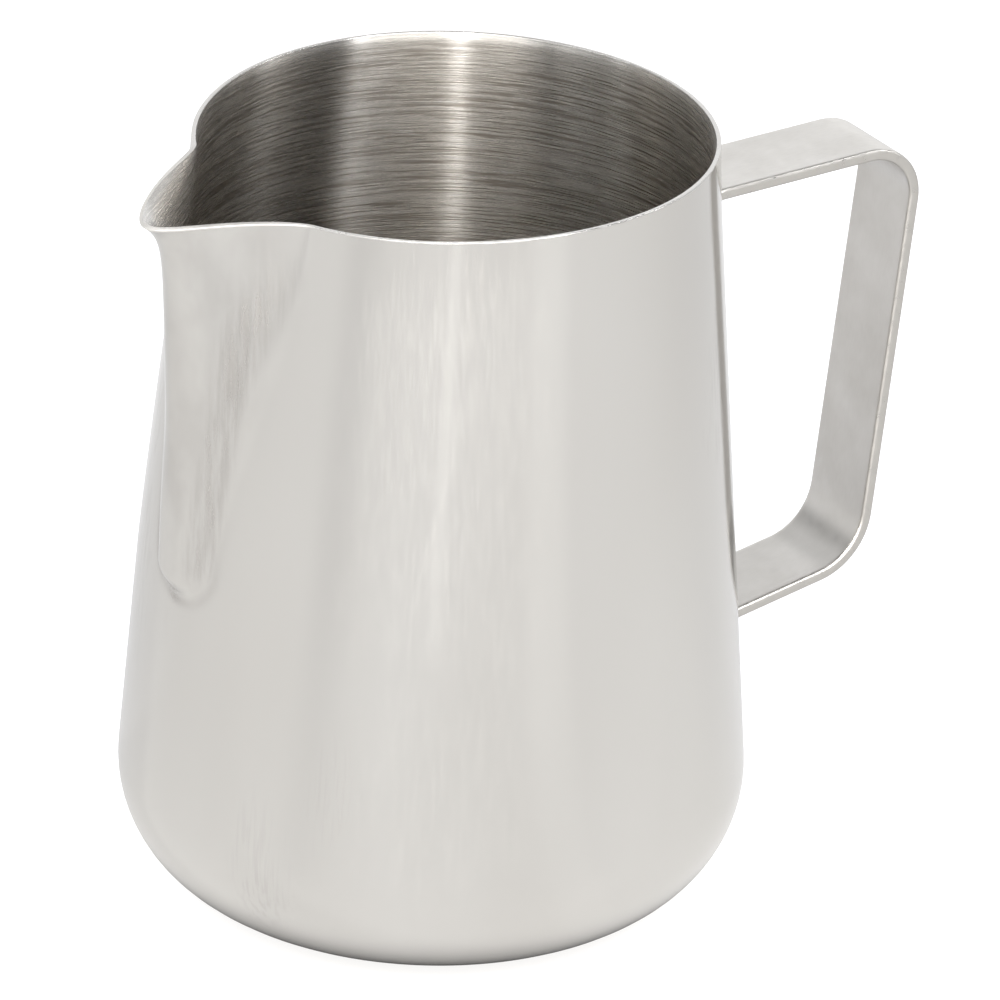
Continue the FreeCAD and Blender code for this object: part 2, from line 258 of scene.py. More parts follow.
# Floor's glow in reflections: stops of degrees to the camera's right, and level. The stripe is
# added to the broad level, and so are the bands, less their middle level.
FLOOR_GLOW = ((-180.0, 0.46), (-130.0, 0.35), (-70.0, 0.405), (-25.0, 0.395), (35.0, 0.395),
              (70.0, 0.405), (130.0, 0.36), (180.0, 0.46))
FLOOR_BANDS = ((-130.0, 0.50), (-60.0, 0.54), (-50.0, 0.53), (-38.0, 0.41), (-26.0, 0.47),
               (-12.0, 0.49), (10.0, 0.48), (28.0, 0.49), (36.0, 0.57), (42.0, 0.56), (50.0, 0.47),
               (100.0, 0.46), (150.0, 0.50))
FLOOR_STRIPE = ((-3.5, 0.0), (-1.0, 0.15), (1.0, 0.15), (3.5, 0.0))
BANDS_MIDDLE = 0.5

# Floor: distances from its middle, in metres, that a level changes between, and pairs of levels.
# Where the cup stands it is dark and doesn't glow, a painted contact shadow, apart from the glow
# that lights the base.
FOOT_SHADOW_REACH = (0.030, 0.046)
FLOOR_SHADOW_AND_WHITENESS = (0.05, 0.31)
GLOW_SHADOW_REACH = (0.031, 0.050)
UNDER_FOOT_REACH = (0.0275, 0.030)
UNDER_FOOT_GLOW = (0.8, 0.0)
GLOW_FALL_REACH = (0.07, 0.40)
GLOW_FALL = (1.12, 0.90)
BANDS_REACH = (0.06, 0.32)
BANDS_SHARE = (0.25, 1.0)
STRIPE_REACH = (0.18, 0.38)

# Tint of the floor's glow, from behind the object to its sides, and cosines of those bearings
TINT_BEARINGS = (-0.9, -0.1)
FLOOR_TINTS = ((0.95, 0.96, 1.0), (1.0, 0.988, 0.975))

# Room: radiances, cosines of the bearings that its lobes start and end at, and the heights, as a
# direction's Z, that each part fades over
FRONT_BEARING = 2.0          # degrees to the camera's right
HORIZON = 1.0
TENT_SIDE = 0.10
TENT_BACK = 1.3
TENT_FRONT = 5.1
TENT_OVERHEAD = 0.30
BACK_LOBE = (0.30, 0.80)
FRONT_LOBE = (0.64, 0.92)
HORIZON_FADE = (0.18, 0.48)
BACK_FADE = (0.60, 0.74)
FRONT_FADE = (0.70, 0.95)
OVERHEAD_START = (0.6, 0.9)
ROOM_COLOUR = (1.0, 1.0, 1.0)
FRONT_COLOUR = (1.0, 0.97, 0.93)

# Softboxes: name, degrees to the camera's right, elevation, width in metres, and radiance
SOFTBOX_DISTANCE = 1.3
SOFTBOX_HEIGHT = 0.9
SOFTBOX_TARGET = Vector((0.0, 0.0, 0.06))
SOFTBOXES = (
    ("front_strip", -2.8, 36.0, 0.026, 122.0),
    ("right_front_box", 46.0, 40.0, 0.08, 36.0),
    ("right_side_box", 97.0, 38.0, 0.06, 26.0),
    ("left_side_box", -80.0, 36.0, 0.06, 14.0),
    ("left_front_box", -56.0, 32.0, 0.40, 2.2),
)


# ---------------------------------------------------------------- shapes of the cup

def smoothstep(share):
    share = max(0.0, min(1.0, share))
    return share * share * (3.0 - 2.0 * share)


def heel_top():
    """Point where the heel arc runs into the straight flank, as a radius and a height."""
    lean = math.atan(FLANK_TAPER)
    return BASE_FLAT_RADIUS + HEEL_RADIUS * math.cos(lean), HEEL_RADIUS * (1.0 + math.sin(lean))


def flank_radius(height):
    """Outer radius of the plain cup above the heel."""
    radius, start = heel_top()
    turn = max(0.0, height - (RIM_HEIGHT - RIM_FLARE_HEIGHT)) / RIM_FLARE_HEIGHT
    return radius - FLANK_TAPER * (height - start) + RIM_FLARE * turn ** 2


def crest_section(share):
    """Sharp-crested cross-section: 1 on its crest, and 0 at a share of 1 and beyond."""
    soft = SPOUT_CREST_ROUNDING
    fall = (math.hypot(share, soft) - soft) / (math.hypot(1.0, soft) - soft)
    return max(0.0, 1.0 - fall) ** SPOUT_CREST_SHARPNESS


def dome_section(share):
    """Round-topped cross-section: 1 on top, and 0 at a share of 1 and beyond."""
    return smoothstep((1.0 - share) / SPOUT_DOME_SLOPE)


def spout_half_angle(depth):
    narrowing = SPOUT_END_HALF_ANGLE - SPOUT_RIM_HALF_ANGLE
    return SPOUT_RIM_HALF_ANGLE + narrowing * smoothstep(depth / SPOUT_LENGTH)


def spout_share(angle, depth):
    """How far out a point lies from the channel's middle line: 1 at the channel's edge."""
    into_end = max(0.0, (depth - SPOUT_LENGTH) / SPOUT_END_LENGTH + 1.0)
    return math.hypot(angle / spout_half_angle(depth), into_end)


def spout_bulge(angle, depth):
    """How far the channel stands out of the cup, at an angle and a depth below the rim."""
    left = max(0.0, 1.0 - depth / SPOUT_LENGTH)
    reach = SPOUT_END_REACH + (SPOUT_REACH - SPOUT_END_REACH) * left ** SPOUT_REACH_POWER
    reach += LIP_CURL * math.exp(-depth / LIP_CURL_DEPTH)
    share = spout_share(angle, depth)
    dome = smoothstep((depth - SPOUT_DOME_START) / (SPOUT_DOME_END - SPOUT_DOME_START))
    return reach * ((1.0 - dome) * crest_section(share) + dome * dome_section(share))


def pull_share(angle):
    """1 at the spout, and 0 where its forming no longer moves the wall."""
    if abs(angle) >= PULL_REACH_ANGLE:
        return 0.0
    return math.cos(0.5 * math.pi * angle / PULL_REACH_ANGLE) ** 2


def wall_point(angle, depth):
    """Point of the outer wall. The angle is in degrees from the middle of the spout."""
    pull = pull_share(angle)
    lip = crest_section(angle / SPOUT_RIM_HALF_ANGLE)
    sink = PULL_DOWN * pull ** 1.5 + LIP_DROOP * lip ** 2
    height = RIM_HEIGHT - depth - sink * max(0.0, 1.0 - depth / SINK_LENGTH)
    radius = flank_radius(height) + spout_bulge(angle, depth)
    radius -= PULL_IN * pull * max(0.0, 1.0 - depth / PULL_LENGTH) ** PULL_FADE_POWER
    turn = math.radians(180.0 + angle)
    return Vector((radius * math.cos(turn), radius * math.sin(turn), height))


def wall_directions(angle, depth):
    """Outward and downward unit vectors of the outer wall at a point."""
    step = 0.02
    around = wall_point(angle + step, depth) - wall_point(angle - step, depth)
    above = wall_point(angle, max(0.0, depth - step))
    down = (wall_point(angle, depth + step) - above).normalized()
    outward = down.cross(around).normalized()
    if outward.xy.dot(wall_point(angle, depth).xy) < 0.0:
        outward.negate()
    return outward, down


def column_angles():
    """Angles of the mesh's columns, close together across the spout."""
    tolerance = 1e-6
    angles = []
    angle = -180.0
    while angle < 180.0 - tolerance:
        angles.append(angle)
        near = -NEAR_COLUMN_LIMIT <= angle < NEAR_COLUMN_LIMIT - tolerance
        angle += NEAR_COLUMN_STEP if near else FAR_COLUMN_STEP
    return angles


def wall_depths():
    """Depths of the mesh's rows below the rim, close together at the lip and the spout's foot."""
    depths = list(LIP_ROW_DEPTHS)
    for first, spacing, count in FLANK_ROW_RUNS:
        depths += [first + spacing * step for step in range(count)]
    last = depths[-1]
    spacing = (RIM_HEIGHT - heel_top()[1] - last) / (LOWER_FLANK_ROWS + 1)
    return depths + [last + spacing * step for step in range(1, LOWER_FLANK_ROWS + 1)]


def turned_row(radius, height, angles):
    """Row of points on a circle about the cup's axis."""
    row = []
    for angle in angles:
        turn = math.radians(180.0 + angle)
        row.append(Vector((radius * math.cos(turn), radius * math.sin(turn), height)))
    return row


def heel_rows(radius, angles):
    """Rows down the heel, from the flank to the foot ring."""
    lean = math.atan(FLANK_TAPER)
    rows = []
    for index in range(HEEL_STEPS + 1):
        turn = lean - (lean + 0.5 * math.pi) * index / HEEL_STEPS
        out = BASE_FLAT_RADIUS + radius * math.cos(turn)
        rows.append(turned_row(out, HEEL_RADIUS + radius * math.sin(turn), angles))
    return rows


def panel_rows(height, angles):
    """Rows from the foot ring in to the middle of the base, over the raised panel's step."""
    rows = [turned_row(radius, height, angles) for radius in FOOT_ROW_RADII]
    for index in range(PANEL_SLOPE_STEPS + 1):
        share = index / PANEL_SLOPE_STEPS
        radius = PANEL_RADIUS - PANEL_STEP_WIDTH * share
        rows.append(turned_row(radius, height + PANEL_RISE * smoothstep(share), angles))
    return rows + [turned_row(radius, height + PANEL_RISE, angles) for radius in PANEL_ROW_RADII]


def inside_inset(depth):
    """How far the inside of the wall lies from its outside. The rim's inner edge is eased back."""
    return WALL - RIM_EASING * math.exp(-(depth / RIM_EASING_DEPTH) ** 2)


def rim_rows(angles):
    """Rows over the rounded rim, from the outer wall to the inner wall."""
    rows = []
    frames = []
    for angle in angles:
        outward, down = wall_directions(angle, 0.0)
        frames.append((wall_point(angle, 0.0) + down * RIM_EDGE_RADIUS, outward, down))
    outer_inset = RIM_EDGE_RADIUS
    inner_inset = inside_inset(RIM_EDGE_RADIUS) - RIM_EDGE_RADIUS
    for index in range(RIM_STEPS + 1):
        turn = math.pi * index / RIM_STEPS
        inset = outer_inset if 2 * index <= RIM_STEPS else inner_inset
        row = []
        for level, outward, down in frames:
            across = outward * (RIM_EDGE_RADIUS * math.cos(turn) - inset)
            row.append(level + across - down * (RIM_EDGE_RADIUS * math.sin(turn)))
        rows.append(row)
    return rows


def worked_band(angle, depth):
    """How far the wall has been rubbed by hand, from 0 to 1: a slanting band down the spout."""
    turned = math.exp(-depth / WORKED_TURN_DEPTH)
    middle = WORKED_END_ANGLE + (WORKED_TOP_ANGLE - WORKED_END_ANGLE) * turned
    width = WORKED_END_WIDTH + (WORKED_TOP_WIDTH - WORKED_END_WIDTH) * turned
    side = 1.0 - smoothstep(abs(angle - middle) / width)
    started = smoothstep((depth - WORKED_START_DEPTH) / WORKED_START_LENGTH)
    stopped = smoothstep((depth - WORKED_STOP_DEPTH) / WORKED_STOP_LENGTH)
    return side * started * (1.0 - stopped)


def painted_crease_shade(angle, depth):
    """Painted shade in the crease round the foot of the channel's end, from 0 to 1."""
    across = (spout_share(angle, depth) - CREASE_SHARE) / CREASE_WIDTH
    rightwards = (angle + CREASE_FADING_ANGLE) / (2.0 * CREASE_FADING_ANGLE)
    uneven = 1.0 - CREASE_FADING * smoothstep(rightwards)
    started = smoothstep((depth - CREASE_START_DEPTH) / CREASE_START_LENGTH)
    return math.exp(-across ** 2) * uneven * started


def formed_share(angle, depth):
    """1 inside the spout's channel, and 0 beyond its edges."""
    return 1.0 - smoothstep((spout_share(angle, depth) - FORMED_SHARE) / FORMED_FADING)


def edge_share(angle, depth):
    """Polished edge of the inside wall with a painted highlight, 1 at the rim. It is deepest
    inside the curled lip.
    """
    lip = crest_section(angle / SPOUT_RIM_HALF_ANGLE)
    return math.exp(-depth / (EDGE_POLISH_AND_HIGHLIGHT_DEPTH + LIP_POLISH_AND_HIGHLIGHT_DEPTH * lip))


def dent(angle, depth):
    """Waviness, rubbing marks and groove of the hand-formed spout, in millimetres."""
    point = wall_point(angle, depth)
    coarse = noise.noise(point * DENT_SCALE)
    fine = noise.noise(point * RUB_SCALE + RUB_OFFSET)
    spout = formed_share(angle, depth) * smoothstep(depth / DENT_START_LENGTH)
    worked = worked_band(angle, depth)
    return spout * DENT_HEIGHT * coarse + worked * (RUB_HEIGHT * fine - GROOVE_DEPTH)


def wall_rows(angles, inset):
    """Rows of the wall below the rim, inset from its outside by a thickness for each depth."""
    rows = []
    for depth in wall_depths():
        row = []
        for angle in angles:
            outward, _ = wall_directions(angle, depth)
            row.append(wall_point(angle, depth) + outward * (dent(angle, depth) - inset(depth)))
        rows.append(row)
    return rows


# ---------------------------------------------------------------- mesh helpers

def make_object(name, points, faces, face_slots, materials):
    """Smooth-shaded mesh object from points in millimetres."""
    mesh = bpy.data.meshes.new(name)
    mesh.from_pydata([point * MM for point in points], [], faces)
    mesh.update()
    for material in materials:
        mesh.materials.append(material)
    mesh.polygons.foreach_set("material_index", face_slots)
    mesh.polygons.foreach_set("use_smooth", [True] * len(faces))
    shape = bmesh.new()
    shape.from_mesh(mesh)
    bmesh.ops.recalc_face_normals(shape, faces=shape.faces[:])
    shape.to_mesh(mesh)
    shape.free()
    piece = bpy.data.objects.new(name, mesh)
    bpy.context.scene.collection.objects.link(piece)
    return piece


def band_faces(rows, width):
    """Quads between neighbouring rows of a mesh whose rows are closed rings."""
    faces = []
    for row in range(rows - 1):
        start = row * width
        for column in range(width):
            after = (column + 1) % width
            faces.append((start + column, start + after, start + width + after,
                          start + width + column))
    return faces


def add_attribute(piece, name, values):
    """Number for each point of a mesh, for the materials to read."""
    layer = piece.data.attributes.new(name, "FLOAT", "POINT")
    layer.data.foreach_set("value", values)


def cup_rows(angles):
    """Rows of the closed cup, from the middle of the underside to the middle of the inside.

    Each is (points, depth below the rim, slot). The depth is None on the heel and the base.
    """
    depths = wall_depths()
    outer = list(zip(wall_rows(angles, lambda depth: 0.0), depths))
    outer += [(row, None) for row in heel_rows(HEEL_RADIUS, angles)]
    inner = list(zip(wall_rows(angles, inside_inset), depths))
    inner += [(row, None) for row in heel_rows(HEEL_RADIUS - WALL, angles)]
    inner += [(row, None) for row in panel_rows(WALL, angles)]
    rows = [(row, None, UNDERSIDE_SLOT) for row in reversed(panel_rows(0.0, angles))]
    rows += [(row, depth, OUTSIDE_SLOT) for row, depth in reversed(outer)]
    rows += [(row, 0.0, RIM_SLOT) for row in rim_rows(angles)]
    return rows + [(row, depth, INSIDE_SLOT) for row, depth in inner]


def make_cup(outside, rim, inside, underside):
    """The one-piece cup as one closed mesh."""
    angles = column_angles()
    width = len(angles)
    rows = cup_rows(angles)
    points = [point for row, _, _ in rows for point in row]
    faces = band_faces(len(rows), width)
    face_slots = []
    for (_, _, before), (_, _, after) in zip(rows, rows[1:]):
        slot = before if before == UNDERSIDE_SLOT else max(before, after)
        face_slots += [slot] * width
    middles = ((PANEL_RISE, 0, UNDERSIDE_SLOT),
               (PANEL_RISE + WALL, len(points) - width, INSIDE_SLOT))
    for height, first, slot in middles:
        points.append(Vector((0.0, 0.0, height)))
        for column in range(width):
            faces.append((first + column, first + (column + 1) % width, len(points) - 1))
            face_slots.append(slot)
    cup = make_object("cup", points, faces, face_slots, [outside, rim, inside, underside])
    shares = {"worked": worked_band, "crease": painted_crease_shade, "formed": formed_share,
              "edge": edge_share}
    for name, share in shares.items():
        values = []
        for _, depth, _ in rows:
            values += [0.0 if depth is None else share(angle, depth) for angle in angles]
        add_attribute(cup, name, values + [0.0] * len(middles))
    return cup


# ---------------------------------------------------------------- shapes of the handle

def strap_corners():
    """Corner points of the strap's middle line, as (x, z), from one tab's end to the other's."""
    half = 0.5 * STRAP_THICKNESS / math.cos(math.atan(FLANK_TAPER))

    def tab_x(height):
        return flank_radius(height) + half

    def grip_x(height):
        return GRIP_X + GRIP_LEAN * (height - GRIP_DATUM_HEIGHT)

    def meet(datum_height, slope, line_x):
        """Point where an arm's line crosses a nearly upright line, found by repeated steps."""
        height = datum_height
        for _ in range(20):
            height = datum_height + slope * (line_x(height) - ARM_DATUM_X)
        return Vector((line_x(height), height))

    upper_root = meet(UPPER_ARM_HEIGHT, UPPER_ARM_SLOPE, tab_x)
    lower_root = meet(LOWER_ARM_HEIGHT, LOWER_ARM_SLOPE, tab_x)
    upper_end = upper_root.y - TAB_LENGTH
    lower_end = lower_root.y + TAB_LENGTH
    return [
        Vector((tab_x(upper_end), upper_end)),
        upper_root,
        meet(UPPER_ARM_HEIGHT, UPPER_ARM_SLOPE, grip_x),
        meet(LOWER_ARM_HEIGHT, LOWER_ARM_SLOPE, grip_x),
        lower_root,
        Vector((tab_x(lower_end), lower_end)),
    ]


def bend_stations(start, direction, turn, radius, curve, distance):
    """Stations inside one bend, without its ends. The curve gives the share of tab curve from the
    share of the bend that is done."""
    side = Vector((-direction.y, direction.x)) * math.copysign(1.0, turn)
    centre = start + side * radius
    stations = []
    for step in range(1, BEND_STEPS):
        share = step / BEND_STEPS
        swing = Matrix.Rotation(turn * share, 2)
        stations.append((centre + swing @ (start - centre), swing @ direction, curve(share),
                         distance + radius * abs(turn) * share))
    return stations


def strap_stations():
    """Stations along the strap: (point, direction, share of tab curve, distance)."""
    corners = strap_corners()
    directions = [(after - before).normalized() for before, after in zip(corners, corners[1:])]
    turns = [-before.angle_signed(after) for before, after in zip(directions, directions[1:])]
    setbacks = [radius * math.tan(0.5 * abs(turn)) for radius, turn in zip(BEND_RADII, turns)]
    setbacks = [0.0, *setbacks, 0.0]
    steps = (TAB_STEP, ARM_STEP, ARM_STEP, ARM_STEP, TAB_STEP)
    run_curves = (1.0, 0.0, 0.0, 0.0, 1.0)
    bend_curves = (lambda share: 1.0 - smoothstep(share), lambda share: 0.0, lambda share: 0.0,
                   smoothstep)
    stations = []
    distance = 0.0
    for run, direction in enumerate(directions):
        start = corners[run] + direction * setbacks[run]
        length = (corners[run + 1] - corners[run]).length - setbacks[run] - setbacks[run + 1]
        count = max(1, round(length / steps[run]))
        for step in range(count + 1):
            along = length * step / count
            stations.append((start + direction * along, direction, run_curves[run],
                             distance + along))
        distance += length
        if run < len(turns):
            stations += bend_stations(start + direction * length, direction, turns[run],
                                      BEND_RADII[run], bend_curves[run], distance)
            distance += BEND_RADII[run] * abs(turns[run])
    return stations


def strap_profile():
    """Points round the strap's cross-section: (across, through), with rounded corners."""
    half_width = 0.5 * STRAP_WIDTH - STRAP_EDGE_ROUNDING
    half_thickness = 0.5 * STRAP_THICKNESS - STRAP_EDGE_ROUNDING
    profile = []
    for quarter, (across, through) in enumerate(((1, 1), (-1, 1), (-1, -1), (1, -1))):
        for step in range(STRAP_CORNER_STEPS + 1):
            turn = 0.5 * math.pi * (quarter + step / STRAP_CORNER_STEPS)
            profile.append((across * half_width + STRAP_EDGE_ROUNDING * math.cos(turn),
                            through * half_thickness + STRAP_EDGE_ROUNDING * math.sin(turn)))
        if across == through:
            for step in range(1, STRAP_FLAT_STEPS):
                share = 1.0 - 2.0 * step / STRAP_FLAT_STEPS
                profile.append((across * half_width * share, through * 0.5 * STRAP_THICKNESS))
    return profile


def dimple_spots():
    """Middles of the spot-weld marks on the tabs, as (x, z)."""
    corners = strap_corners()
    spots = []
    for end, root in ((corners[0], corners[1]), (corners[5], corners[4])):
        along = (root - end).normalized()
        for side in (-0.5, 0.5):
            shift = side * NUGGET_SPACING - 0.5 * ROOT_BEND_RADIUS
            spots.append((end + root) * 0.5 + along * shift)
    return spots


def dimple_depth(y, centre, spots):
    """How deep the spot-weld marks press into a tab's outer face."""
    depth = 0.0
    for spot in spots:
        beyond_flat = math.hypot(y, (centre - spot).length) - DIMPLE_FLAT_RADIUS
        slope = beyond_flat / (DIMPLE_RADIUS - DIMPLE_FLAT_RADIUS)
        depth += DIMPLE_DEPTH * (1.0 - smoothstep(slope))
    return depth


def end_inset(to_end):
    """How far the rounding of the strap's ends draws its sides in, at a distance from an end."""
    short = max(0.0, STRAP_EDGE_ROUNDING - to_end)
    return STRAP_EDGE_ROUNDING - math.sqrt(STRAP_EDGE_ROUNDING ** 2 - short ** 2)


def make_handle(steel):
    """The strap, swept along its bent path, with its tabs curved to the cup."""
    stations = strap_stations()
    profile = strap_profile()
    spots = dimple_spots()
    total = stations[-1][3]
    points = []
    edges = []
    for centre, direction, curve, distance in stations:
        side = Vector((-direction.y, direction.x))
        inset = end_inset(min(distance, total - distance))
        wide = 1.0 - 2.0 * inset / STRAP_WIDTH
        thick = 1.0 - 2.0 * inset / STRAP_THICKNESS
        radius = flank_radius(centre.y)
        on_tab = curve == 1.0
        for across, through in profile:
            y = across * wide
            place = centre + side * (through * thick)
            if on_tab and through < 0.0:
                place.x -= dimple_depth(y, centre, spots)
            place.x -= curve * (radius - math.sqrt(radius ** 2 - y ** 2))
            points.append(Vector((place.x, y, place.y)))
            # Share of the rounded edge, which the material paints darker as shade
            corner = abs(across) - 0.5 * STRAP_WIDTH + STRAP_EDGE_ROUNDING
            edges.append(smoothstep(corner / (0.7 * STRAP_EDGE_ROUNDING)))
    width = len(profile)
    faces = band_faces(len(stations), width)
    faces.append(tuple(range(width)))
    faces.append(tuple(range(len(points) - width, len(points))))
    handle = make_object("handle", points, faces, [0] * len(faces), [steel])
    add_attribute(handle, "edge", edges)
    return handle


# ---------------------------------------------------------------- materials

def new_material(name, metallic=1.0):
    """Material and its shader, ready for more nodes."""
    material = bpy.data.materials.new(name)
    material.use_nodes = True
    shader = material.node_tree.nodes["Principled BSDF"]
    shader.inputs["Metallic"].default_value = metallic
    return material, shader


def add_node(owner, kind, **values):
    """Node in a material or a world."""
    node = owner.node_tree.nodes.new(kind)
    for name, value in values.items():
        setattr(node, name, value)
    return node


def join(owner, output, socket):
    owner.node_tree.links.new(output, socket)


def set_or_join(owner, value, socket):
    """Give a socket a fixed number, or another node's output."""
    if isinstance(value, float):
        socket.default_value = value
    else:
        join(owner, value, socket)


def combine(owner, operation, first, second):
    """Sum, product or other operation on two numbers, each fixed or another node's output."""
    node = add_node(owner, "ShaderNodeMath", operation=operation)
    set_or_join(owner, first, node.inputs[0])
    set_or_join(owner, second, node.inputs[1])
    return node.outputs["Value"]


def remap(owner, source, before, after=(0.0, 1.0), interpolation="LINEAR"):
    """Number moved from one pair of levels to another, and held at the ends."""
    node = add_node(owner, "ShaderNodeMapRange", interpolation_type=interpolation)
    node.inputs["From Min"].default_value, node.inputs["From Max"].default_value = before
    node.inputs["To Min"].default_value, node.inputs["To Max"].default_value = after
    join(owner, source, node.inputs["Value"])
    return node.outputs["Result"]


def ease(owner, source, before, after=(0.0, 1.0)):
    """As remap, with soft ends."""
    return remap(owner, source, before, after, "SMOOTHSTEP")


def mix_colours(owner, share, first, second):
    """Mix of two colours, each a fixed one or another node's output."""
    node = add_node(owner, "ShaderNodeMix", data_type="RGBA")
    sockets = [socket for socket in node.inputs if socket.type == "RGBA"]
    for socket, colour in zip(sockets, (first, second)):
        if isinstance(colour, tuple):
            socket.default_value = (*colour, 1.0)
        else:
            join(owner, colour, socket)
    join(owner, share, node.inputs["Factor"])
    return next(socket for socket in node.outputs if socket.type == "RGBA")


def object_place(owner):
    """The object's own coordinates."""
    return add_node(owner, "ShaderNodeTexCoord").outputs["Object"]


def vector_maths(owner, operation, first, second=None):
    """Vector node with an output of another node as its first input, and a fixed second one."""
    node = add_node(owner, "ShaderNodeVectorMath", operation=operation)
    join(owner, first, node.inputs[0])
    if second is not None:
        node.inputs[1].default_value = second
    return node.outputs


def down_the_inside(material):
    """The object's own coordinates, with a Z that goes on falling across the inside's floor."""
    place = object_place(material)
    flat = vector_maths(material, "MULTIPLY", place, (1.0, 1.0, 0.0))["Vector"]
    radius = vector_maths(material, "LENGTH", flat)["Value"]
    split = add_node(material, "ShaderNodeSeparateXYZ")
    join(material, place, split.inputs["Vector"])
    short_of_wall = combine(material, "MINIMUM", radius, BRUSHED_FLOOR_RADIUS * MM)
    fall = combine(material, "SUBTRACT", short_of_wall, BRUSHED_FLOOR_RADIUS * MM)
    merged = add_node(material, "ShaderNodeCombineXYZ")
    join(material, split.outputs["X"], merged.inputs["X"])
    join(material, split.outputs["Y"], merged.inputs["Y"])
    join(material, combine(material, "ADD", split.outputs["Z"], fall), merged.inputs["Z"])
    return merged.outputs["Vector"]


def add_noise(material, scale, detail=3.0, roughness=0.55, offset=(0.0, 0.0, 0.0),
              tilt=(0.0, 0.0, 0.0), place=None):
    """Noise over a place, or over the object's own coordinates, with a scale for each axis."""
    mapping = add_node(material, "ShaderNodeMapping")
    mapping.inputs["Scale"].default_value = scale
    mapping.inputs["Location"].default_value = offset
    mapping.inputs["Rotation"].default_value = tilt
    pattern = add_node(material, "ShaderNodeTexNoise")
    pattern.inputs["Scale"].default_value = 1.0
    pattern.inputs["Detail"].default_value = detail
    pattern.inputs["Roughness"].default_value = roughness
    join(material, place or object_place(material), mapping.inputs["Vector"])
    join(material, mapping.outputs["Vector"], pattern.inputs["Vector"])
    return pattern.outputs["Fac"]


def noise_colour(material, pattern, colours):
    """Colour that follows a noise pattern."""
    return mix_colours(material, remap(material, pattern, NOISE_RANGE), *colours)


def add_bump(material, shader, height, depth, before=None):
    """Bump of a height pattern from 0 to 1, over a depth in metres."""
    bump = add_node(material, "ShaderNodeBump")
    bump.inputs["Strength"].default_value = 1.0
    bump.inputs["Distance"].default_value = depth
    join(material, height, bump.inputs["Height"])
    if before is not None:
        join(material, before, bump.inputs["Normal"])
    join(material, bump.outputs["Normal"], shader.inputs["Normal"])
    return bump.outputs["Normal"]


def brush_round(material, shader, anisotropy):
    """Brushing that runs round the cup's axis, so that highlights spread up and down."""
    tangent = add_node(material, "ShaderNodeTangent", direction_type="RADIAL", axis="Z")
    shader.inputs["Anisotropic"].default_value = anisotropy
    shader.inputs["Anisotropic Rotation"].default_value = 0.25
    join(material, tangent.outputs["Tangent"], shader.inputs["Tangent"])


def attribute(material, name):
    return add_node(material, "ShaderNodeAttribute", attribute_name=name).outputs["Fac"]


def outside_marks_and_shade(material, uprights, worked, streaks):
    """Where the outside is scratched, rubbed, unevenly formed or painted with crease shade, from 0
    to 1.
    """
    clusters = add_noise(material, **SCRATCH_CLUSTERS)
    scratched = combine(material, "MULTIPLY",
                        remap(material, clusters, SCRATCH_CLUSTER_LEVELS, SCRATCH_STRENGTHS),
                        remap(material, uprights, SCRATCH_LEVELS))
    rubbed = combine(material, "MULTIPLY", worked,
                     remap(material, streaks, RUB_LEVELS, RUB_STRENGTHS))
    blotches = add_noise(material, **SPOUT_BLOTCHES)
    uneven = combine(material, "MULTIPLY", attribute(material, "formed"),
                     remap(material, blotches, BLOTCH_LEVELS, BLOTCH_STRENGTHS))
    # Painted shade in the crease round the foot of the spout's channel
    crease_shade = combine(material, "MULTIPLY", attribute(material, "crease"),
                      remap(material, blotches, CREASE_SHADE_LEVELS, CREASE_SHADE_STRENGTHS))
    return combine(material, "MAXIMUM", combine(material, "MAXIMUM", rubbed, scratched),
                   combine(material, "MAXIMUM", uneven, crease_shade))


def make_outside_steel():
    """Polished steel: soft clouds, thin scratch clusters, a rubbed, duller spout, painted shade at
    its foot.
    """
    material, shader = new_material("outside_steel")
    uprights = add_noise(material, **UPRIGHT_SCRATCHES)
    worked = attribute(material, "worked")
    streaks = add_noise(material, **RUB_STREAKS)
    marks = outside_marks_and_shade(material, uprights, worked, streaks)
    colour = noise_colour(material, add_noise(material, **BODY_CLOUDS), OUTSIDE_COLOURS)
    # Marks and the painted crease shade both take the mark colour
    colour = mix_colours(material, marks, colour, MARK_AND_SHADE_COLOUR)
    join(material, colour, shader.inputs["Base Color"])
    roughness = remap(material, uprights, OUTSIDE_ROUGHNESS_LEVELS, OUTSIDE_ROUGHNESS)
    duller = combine(material, "MULTIPLY", marks, MARK_ROUGHENING)
    join(material, combine(material, "ADD", roughness, duller), shader.inputs["Roughness"])
    rings = add_noise(material, **POLISHING_RINGS)
    normal = add_bump(material, shader, rings, RINGS_BUMP)
    rubs = combine(material, "MULTIPLY", worked, streaks)
    add_bump(material, shader, rubs, RUB_BUMP, normal)
    brush_round(material, shader, OUTSIDE_ANISOTROPY)
    return material


